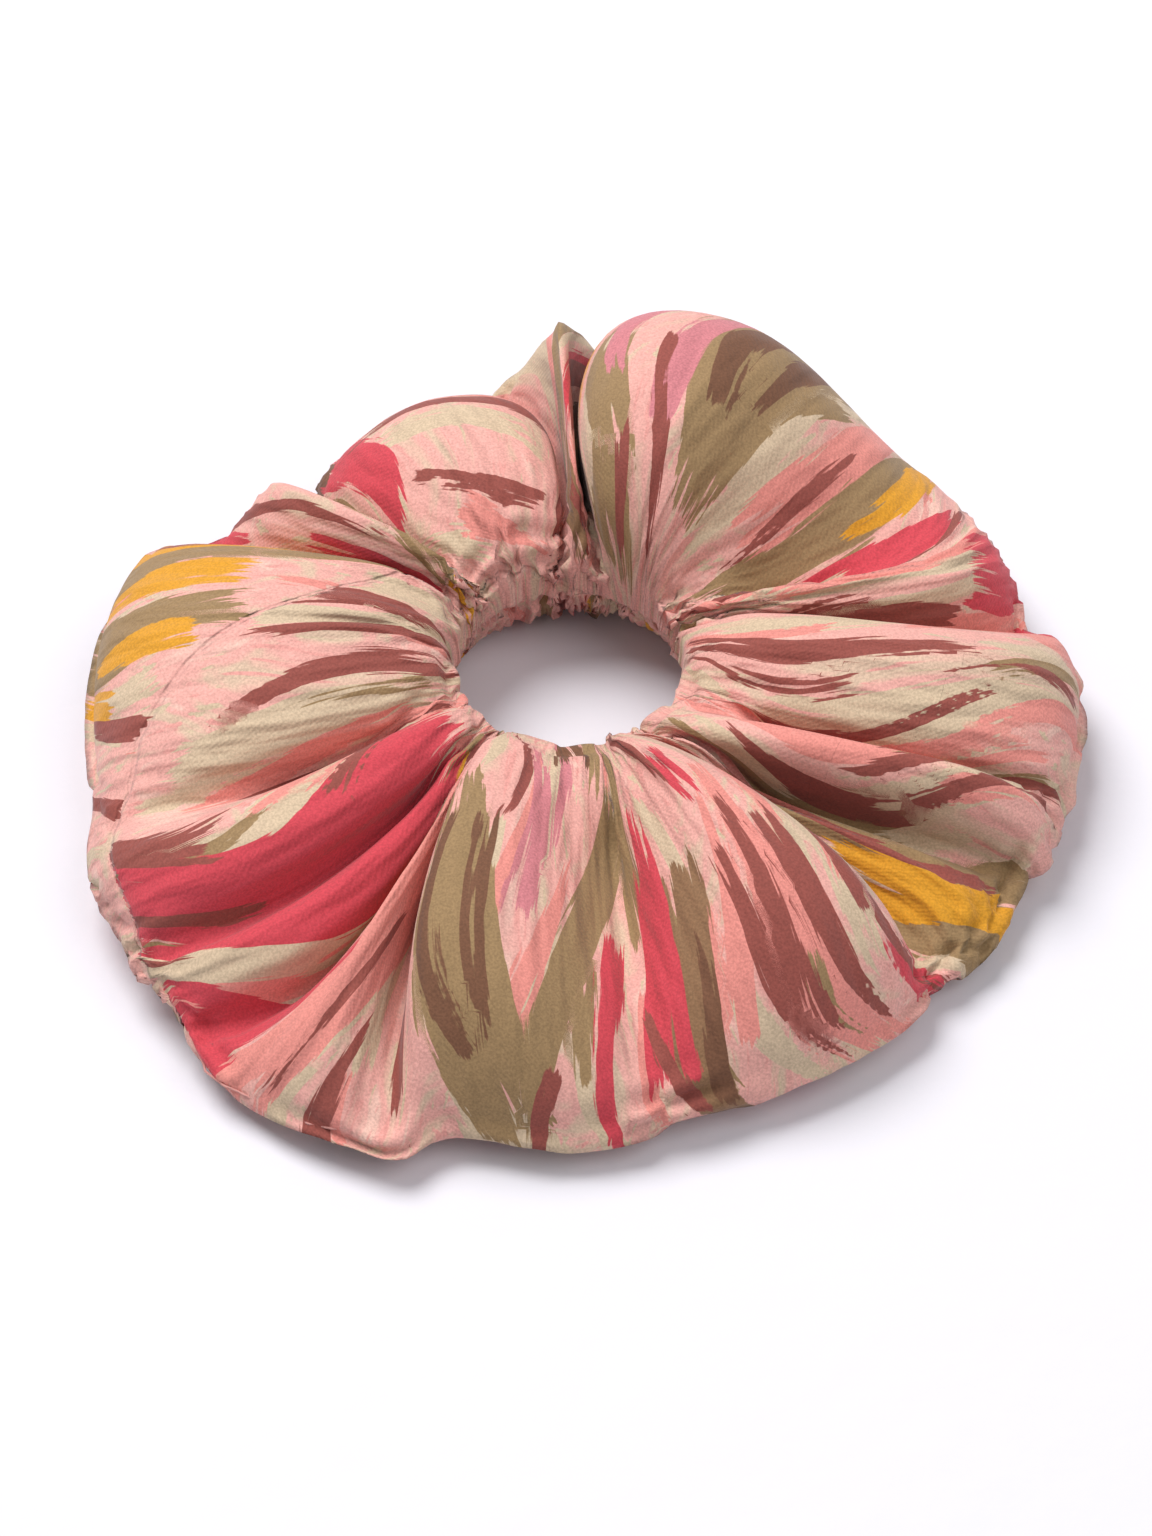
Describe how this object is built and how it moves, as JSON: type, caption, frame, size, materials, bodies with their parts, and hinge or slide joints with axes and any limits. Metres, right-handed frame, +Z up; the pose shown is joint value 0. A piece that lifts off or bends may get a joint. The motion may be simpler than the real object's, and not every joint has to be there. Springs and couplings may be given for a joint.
{
  "type": "scrunchie",
  "caption": "Printed crepe cloth tube gathered into a puffy ring on a hidden loop of elastic; it stretches open and grips a ponytail.",
  "frame": {"origin": "the surface the ring lies on, under the middle of its hole", "axes": "+Z up through the hole, +X the way the ring is pulled open"},
  "size_m": [0.1372, 0.1366, 0.03],
  "materials": {
    "printed_crepe": "matte",
    "braided_elastic": "matte",
    "elastic_thread": "matte",
    "seam_thread": "matte"
  },
  "bodies": {
    "left_half": {"casing_left": "printed_crepe", "elastic_left": "braided_elastic", "elastic_join_thread": "elastic_thread", "long_seam_thread_left": "seam_thread", "closing_seam_thread": "seam_thread"},
    "right_half": {"casing_right": "printed_crepe", "elastic_right": "braided_elastic", "long_seam_thread_right": "seam_thread"}
  },
  "joints": [
    {"name": "stretch", "type": "slide", "parent": "left_half", "child": "right_half", "axis": [1, 0, 0], "range_m": [0, 0.07], "stiffness_N_per_m": 80}
  ]
}
